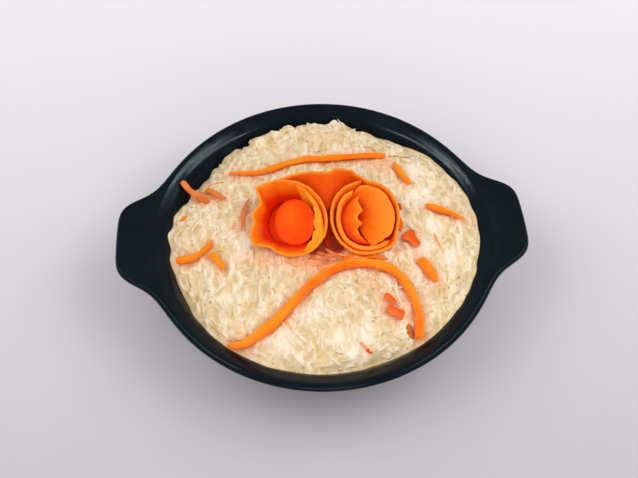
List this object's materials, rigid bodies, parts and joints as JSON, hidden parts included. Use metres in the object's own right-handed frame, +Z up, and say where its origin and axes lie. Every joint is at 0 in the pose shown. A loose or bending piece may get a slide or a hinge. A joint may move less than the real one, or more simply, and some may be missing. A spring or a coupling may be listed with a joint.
{
  "type": "coleslaw",
  "caption": "Creamy coleslaw heaped in a round dark glazed dish with two tab handles, topped with rolled carrot ribbons and carrot strips.",
  "frame": {"origin": "centre of the underside of the dish, on the surface it stands on", "axes": "+Z up, +X towards one tab handle, +Y towards the far side of the picture"},
  "size_m": [0.1996, 0.17, 0.0544],
  "materials": {
    "glaze": "glossy",
    "slaw": "wet, creamy",
    "carrot": "moist",
    "carrot_deep": "moist"
  },
  "bodies": {
    "root": {"dish": "glaze", "slaw": "slaw", "carrot_scroll": "carrot", "carrot_plug": "carrot", "carrot_lining": "carrot", "carrot_rose": "carrot", "carrot_petal_left": "carrot", "carrot_petal_right": "carrot", "carrot_strip_front": "carrot", "carrot_strip_back": "carrot", "carrot_strip_far_left": "carrot", "carrot_strip_far_left_tail": "carrot", "carrot_strip_left": "carrot", "carrot_strip_left_leg": "carrot", "carrot_strip_far_right": "carrot", "carrot_strip_right": "carrot", "carrot_strip_near_right": "carrot", "carrot_shred_left": "carrot", "carrot_chunk": "carrot_deep", "carrot_bit_upper": "carrot_deep", "carrot_bit_lower": "carrot_deep"}
  },
  "joints": []
}
